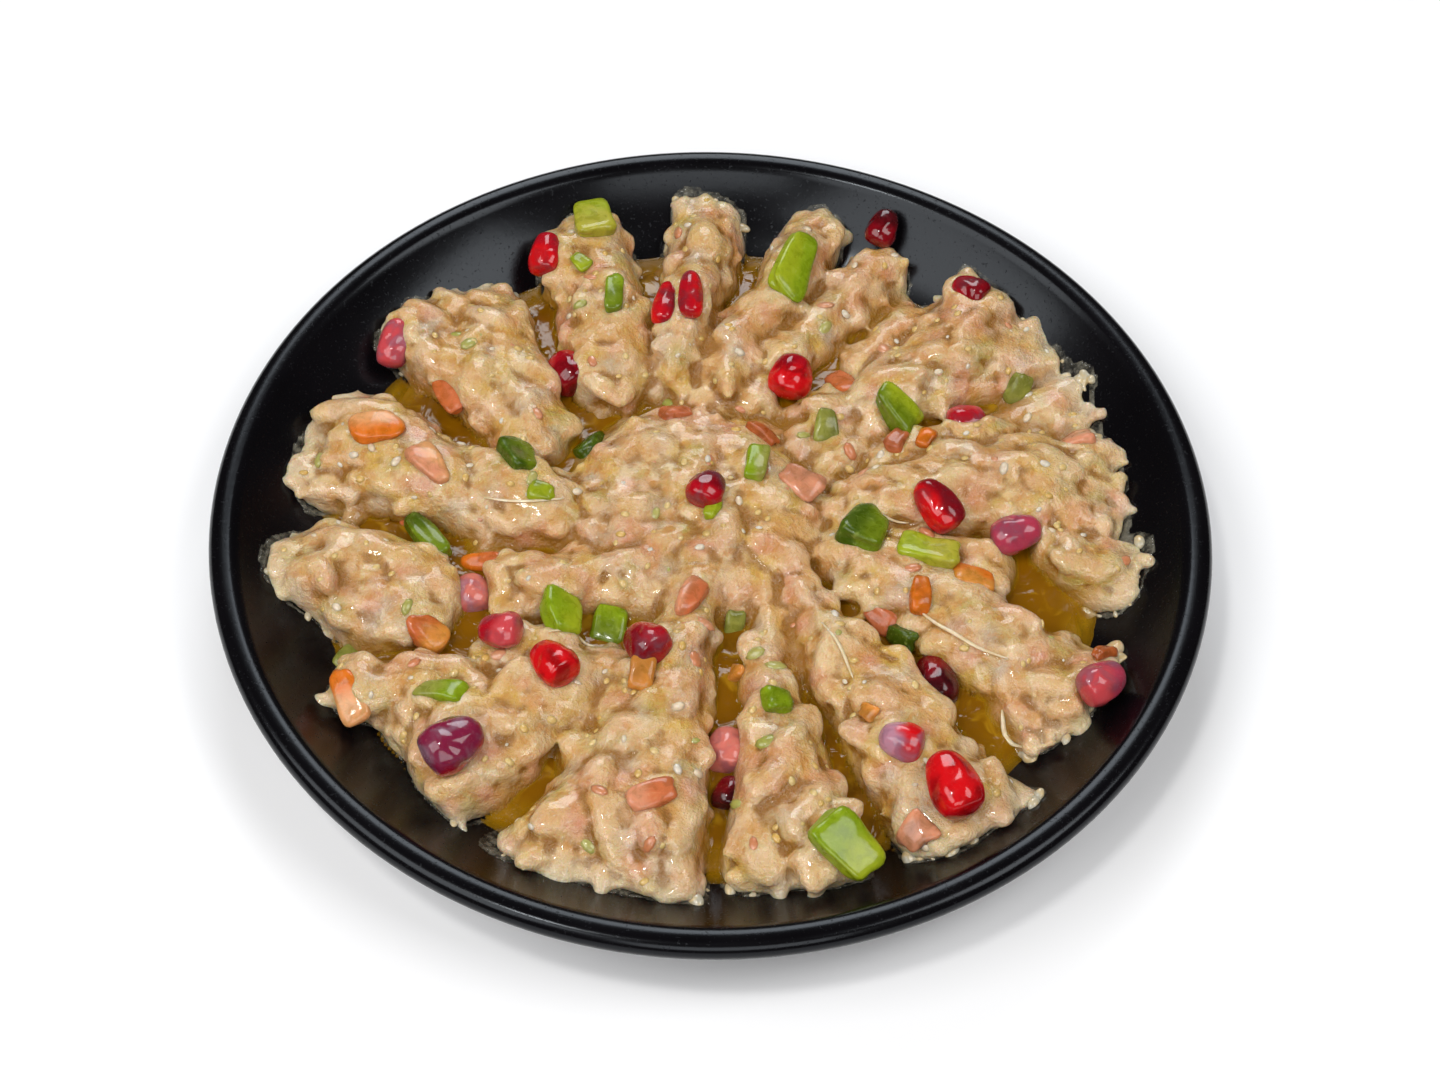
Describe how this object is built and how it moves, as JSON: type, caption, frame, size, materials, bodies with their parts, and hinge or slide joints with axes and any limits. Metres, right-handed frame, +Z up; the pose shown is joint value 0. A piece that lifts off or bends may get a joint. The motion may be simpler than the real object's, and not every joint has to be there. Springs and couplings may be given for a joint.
{
  "type": "baba ganoush on a plate",
  "caption": "Chunky aubergine dip pulled into radial petals on a round black coupe plate, dotted with pomegranate arils, green pepper and tomato pieces.",
  "frame": {"origin": "middle of the plate's foot, on the surface it stands on", "axes": "+Z up out of the plate; the near edge of the dish is -Y and its right side is +X"},
  "size_m": [0.2, 0.2, 0.0245],
  "materials": {
    "plate": "satin black glaze",
    "dip": "wet mashed aubergine, lumpy, with oil",
    "aril": "glossy translucent pomegranate flesh",
    "pepper": "wet green pepper, glossy skin",
    "tomato": "wet tomato and carrot flesh"
  },
  "bodies": {
    "root": {"plate": "plate", "dip": "dip", "aril_01": "aril", "aril_02": "aril", "aril_03": "aril", "aril_04": "aril", "aril_05": "aril", "aril_06": "aril", "aril_07": "aril", "aril_08": "aril", "aril_09": "aril", "aril_10": "aril", "aril_11": "aril", "aril_12": "aril", "aril_13": "aril", "aril_14": "aril", "aril_15": "aril", "aril_16": "aril", "aril_17": "aril", "aril_18": "aril", "aril_19": "aril", "aril_20": "aril", "aril_21": "aril", "aril_22": "aril", "aril_23": "aril", "pepper_01": "pepper", "pepper_02": "pepper", "pepper_03": "pepper", "pepper_04": "pepper", "pepper_05": "pepper", "pepper_06": "pepper", "pepper_07": "pepper", "pepper_08": "pepper", "pepper_09": "pepper", "pepper_10": "pepper", "pepper_11": "pepper", "pepper_12": "pepper", "pepper_13": "pepper", "tomato_01": "tomato", "tomato_02": "tomato", "tomato_03": "tomato", "tomato_04": "tomato", "tomato_05": "tomato", "tomato_06": "tomato", "tomato_07": "tomato", "tomato_08": "tomato", "tomato_09": "tomato", "tomato_10": "tomato"}
  },
  "joints": []
}
